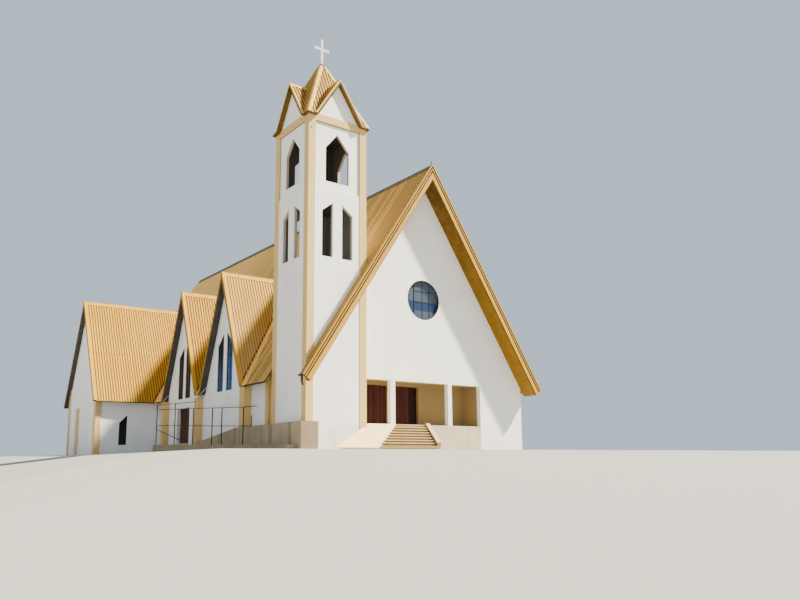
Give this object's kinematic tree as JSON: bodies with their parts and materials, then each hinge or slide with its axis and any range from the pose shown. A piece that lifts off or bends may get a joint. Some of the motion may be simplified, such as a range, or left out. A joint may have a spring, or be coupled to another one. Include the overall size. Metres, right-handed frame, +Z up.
{
  "type": "modern church building",
  "caption": "Church with a steep tan metal roof, square bell tower with a cross, sharp cross gables along the sides, transepts, an open porch with hinged doors and a wide flight of steps.",
  "frame": {"origin": "centre of the footprint's bounding box, at the lowest ground point", "axes": "+Z up, +Y from the entrance facade to the back of the nave, +X to the right when facing the facade"},
  "size_m": [25.68, 36.65, 23.85],
  "materials": {
    "roof": "golden tan ribbed roof sheets",
    "trim": "light gold cappings and verge boards",
    "wall": "warm white painted render",
    "post": "tan painted render",
    "glass": "dark window glass",
    "door": "dark red-brown varnished boards",
    "concrete": "weathered grey-beige concrete",
    "cross": "pale painted steel",
    "rail": "dark brown painted tube"
  },
  "bodies": {
    "church": {"main_roof_left": "roof", "main_roof_right": "roof", "gable_roof_front_left": "roof", "gable_roof_front_right": "roof", "gable_roof_rear_left": "roof", "gable_roof_rear_right": "roof", "transept_roof_left": "roof", "transept_roof_right": "roof", "ridge_cap": "trim", "front_verge": "trim", "back_verge": "trim", "facade_wall": "wall", "round_window": "glass", "porch_platform": "concrete", "porch_ceiling": "post", "porch_wall_left": "wall", "porch_wall_middle": "wall", "porch_wall_right": "wall", "nave_floor": "concrete", "left_wall_front": "wall", "left_wall_rear": "wall", "left_wall_over_door": "wall", "pier_tower": "post", "pier_front": "post", "pier_middle": "post", "pier_rear": "post", "right_wall": "wall", "side_glass_left": "glass", "side_glass_right": "glass", "transept_left": "wall", "transept_right": "wall", "transept_glass_left": "glass", "transept_glass_right": "glass", "back_walls": "wall", "tower_frame": "post", "tower_wall_front": "wall", "tower_wall_left": "wall", "tower_wall_back": "wall", "tower_wall_right": "wall", "belfry_floor": "concrete", "tower_roof": "roof", "tower_gable_walls": "wall", "cross": "cross", "entrance_steps": "concrete", "entrance_ramp": "concrete", "side_terrace": "concrete", "side_railing": "rail"},
    "porch_door_left_a_leaf": {"porch_door_left_a": "door"},
    "porch_door_left_b_leaf": {"porch_door_left_b": "door"},
    "porch_door_middle_a_leaf": {"porch_door_middle_a": "door"},
    "porch_door_middle_b_leaf": {"porch_door_middle_b": "door"},
    "side_door_a_leaf": {"side_door_a": "door"},
    "side_door_b_leaf": {"side_door_b": "door"}
  },
  "joints": [
    {"name": "porch_door_left_a_hinge", "type": "hinge", "parent": "church", "child": "porch_door_left_a_leaf", "pos_m": [-3.27, -14.075, 1.4], "axis": [0, 0, 1], "range_deg": [0, 90]},
    {"name": "porch_door_left_b_hinge", "type": "hinge", "parent": "church", "child": "porch_door_left_b_leaf", "pos_m": [-1.47, -14.075, 1.4], "axis": [0, 0, -1], "range_deg": [0, 90]},
    {"name": "porch_door_middle_a_hinge", "type": "hinge", "parent": "church", "child": "porch_door_middle_a_leaf", "pos_m": [-1.01, -14.075, 1.4], "axis": [0, 0, 1], "range_deg": [0, 90]},
    {"name": "porch_door_middle_b_hinge", "type": "hinge", "parent": "church", "child": "porch_door_middle_b_leaf", "pos_m": [0.79, -14.075, 1.4], "axis": [0, 0, -1], "range_deg": [0, 90]},
    {"name": "side_door_a_hinge", "type": "hinge", "parent": "church", "child": "side_door_a_leaf", "pos_m": [-7.96, -1.215, 0.7], "axis": [0, 0, -1], "range_deg": [0, 90]},
    {"name": "side_door_b_hinge", "type": "hinge", "parent": "church", "child": "side_door_b_leaf", "pos_m": [-7.96, 0.985, 0.7], "axis": [0, 0, 1], "range_deg": [0, 90]}
  ]
}
